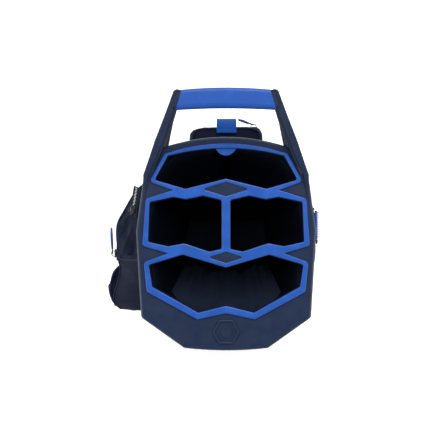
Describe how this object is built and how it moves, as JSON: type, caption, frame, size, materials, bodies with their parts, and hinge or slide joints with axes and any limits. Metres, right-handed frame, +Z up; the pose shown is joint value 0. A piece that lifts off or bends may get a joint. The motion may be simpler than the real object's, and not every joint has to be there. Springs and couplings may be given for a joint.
{
  "type": "golf stand bag",
  "caption": "Tapered golf bag with a moulded top collar, divided openings, lift handle, zipped pockets, carrying straps and fold-out stand legs driven by a hinged foot plate.",
  "frame": {"origin": "middle of the base on the floor, on the bag's own axis", "axes": "+Z up the bag, +Y towards the lift handle and the carrying straps, -Y towards the stand legs, +X to the right seen from above with the handle at the top"},
  "size_m": [0.3193, 0.314, 0.911],
  "materials": {
    "collar_plastic": "satin",
    "rim_rubber": "matte",
    "grip_rubber": "matte",
    "rivet_metal": "satin",
    "body_fabric": "matte",
    "pocket_fabric": "matte",
    "base_plastic": "matte",
    "tread_rubber": "matte",
    "liner_fabric": "matte",
    "stay_plastic": "matte",
    "hinge_steel": "satin",
    "leg_aluminium": "satin",
    "black_plastic": "matte",
    "zip_fabric": "matte",
    "zip_silver": "satin",
    "slider_metal": "satin",
    "pull_rubber": "matte",
    "blue_webbing": "matte",
    "strap_fabric": "matte",
    "black_webbing": "matte"
  },
  "bodies": {
    "bag": {"apparel_pocket": "pocket_fabric", "apparel_zip": "zip_fabric", "ball_pocket": "pocket_fabric", "ball_zip": "zip_fabric", "base_cup": "base_plastic", "base_tread": "tread_rubber", "body_shell": "body_fabric", "bottle_pocket": "pocket_fabric", "collar_rivets": "rivet_metal", "cuff": "collar_plastic", "diamond_front": "collar_plastic", "diamond_rear": "collar_plastic", "divider_grid": "rim_rubber", "face_badge": "collar_plastic", "foot_pin": "hinge_steel", "front_sheet": "liner_fabric", "handle_grip": "grip_rubber", "hip_pad": "strap_fabric", "leg_bracket_left": "black_plastic", "leg_bracket_right": "black_plastic", "leg_pin_left": "hinge_steel", "leg_pin_right": "hinge_steel", "middle_sheet": "liner_fabric", "phone_zip": "zip_fabric", "rear_sheet": "liner_fabric", "side_pocket": "pocket_fabric", "side_webbing": "blue_webbing", "spine_loop": "blue_webbing", "spine_pocket": "pocket_fabric", "spine_stay": "stay_plastic", "spine_zip": "zip_fabric", "strap_anchor": "black_webbing", "strap_buckle_left": "black_plastic", "strap_buckle_right": "black_plastic", "strap_disc": "black_plastic", "strap_pad_left": "strap_fabric", "strap_pad_right": "strap_fabric", "strap_webbing_left": "black_webbing", "strap_webbing_right": "black_webbing", "valuables_zip": "zip_silver"},
    "leg_right": {"leg_head_right": "black_plastic", "leg_tube_right": "leg_aluminium", "leg_foot_right": "tread_rubber", "leg_clamp_right": "black_plastic"},
    "push_rod_right": {"push_rod_right": "hinge_steel"},
    "leg_left": {"leg_head_left": "black_plastic", "leg_tube_left": "leg_aluminium", "leg_foot_left": "tread_rubber", "leg_clamp_left": "black_plastic"},
    "push_rod_left": {"push_rod_left": "hinge_steel"},
    "foot_plate": {"foot_plate": "base_plastic"},
    "spine_slider": {"spine_slider": "slider_metal"},
    "spine_pull": {"spine_pull": "pull_rubber"},
    "phone_slider": {"phone_slider": "slider_metal"},
    "phone_pull": {"phone_pull": "pull_rubber"},
    "valuables_slider": {"valuables_slider": "slider_metal"},
    "apparel_slider": {"apparel_slider": "slider_metal"},
    "apparel_pull": {"apparel_pull": "pull_rubber"},
    "ball_slider": {"ball_slider": "slider_metal"},
    "ball_pull": {"ball_pull": "pull_rubber"}
  },
  "joints": [
    {"name": "leg_right_swing", "type": "hinge", "parent": "bag", "child": "leg_right", "pos_m": [0.07292, -0.10462, 0.778], "axis": [-0.809, -0.5878, 0], "range_deg": [0, 24], "stiffness_Nm_per_rad": 1.5, "springref_deg": -11.46},
    {"name": "leg_left_swing", "type": "hinge", "parent": "bag", "child": "leg_left", "pos_m": [-0.07292, -0.10462, 0.778], "axis": [-0.809, 0.5878, 0], "range_deg": [0, 24], "stiffness_Nm_per_rad": 1.5, "springref_deg": -11.46},
    {"name": "foot_plate_tilt", "type": "hinge", "parent": "bag", "child": "foot_plate", "pos_m": [0, -0.04, 0.007], "axis": [-1, 0, 0], "range_deg": [0, 22.1]},
    {"name": "push_rod_right_swing", "type": "hinge", "parent": "leg_right", "child": "push_rod_right", "pos_m": [0.05674, -0.11638, 0.56], "axis": [0.8193, 0.5733, 0.0074], "range_deg": [0, 34.1]},
    {"name": "push_rod_left_swing", "type": "hinge", "parent": "leg_left", "child": "push_rod_left", "pos_m": [-0.05674, -0.11638, 0.56], "axis": [0.8193, -0.5733, -0.0074], "range_deg": [0, 34.1]},
    {"name": "spine_zip_slide", "type": "slide", "parent": "bag", "child": "spine_slider", "axis": [-1, 0, 0], "range_m": [0, 0.022]},
    {"name": "phone_zip_slide", "type": "slide", "parent": "bag", "child": "phone_slider", "axis": [0, 1, 0], "range_m": [0, 0.032]},
    {"name": "valuables_zip_slide", "type": "slide", "parent": "bag", "child": "valuables_slider", "axis": [-0.1728, -0.9629, -0.2074], "range_m": [-0.023, 0]},
    {"name": "apparel_zip_slide", "type": "slide", "parent": "bag", "child": "apparel_slider", "axis": [0, 0, -1], "range_m": [-0.476, 0]},
    {"name": "ball_zip_slide", "type": "slide", "parent": "bag", "child": "ball_slider", "axis": [0, 0, -1], "range_m": [0, 0.238]},
    {"name": "spine_pull_flip", "type": "hinge", "parent": "spine_slider", "child": "spine_pull", "pos_m": [0.037, 0.1631, 0.722], "axis": [0, 0, -1], "range_deg": [0, 150]},
    {"name": "phone_pull_flip", "type": "hinge", "parent": "phone_slider", "child": "phone_pull", "pos_m": [-0.1571, -0.011, 0.69], "axis": [0, 0, 1], "range_deg": [0, 150]},
    {"name": "apparel_pull_flip", "type": "hinge", "parent": "apparel_slider", "child": "apparel_pull", "pos_m": [-0.1571, 0.008, 0.184], "axis": [0, 1, 0], "range_deg": [0, 150]},
    {"name": "ball_pull_flip", "type": "hinge", "parent": "ball_slider", "child": "ball_pull", "pos_m": [0.1516, 0.012, 0.388], "axis": [0, -1, 0], "range_deg": [0, 150]}
  ],
  "couplings": [
    {"joint": "leg_left_swing", "follows": "leg_right_swing", "ratio": 1},
    {"joint": "foot_plate_tilt", "follows": "leg_right_swing", "ratio": 0.91853},
    {"joint": "push_rod_right_swing", "follows": "leg_right_swing", "ratio": 1.4183},
    {"joint": "push_rod_left_swing", "follows": "leg_right_swing", "ratio": 1.4183}
  ]
}
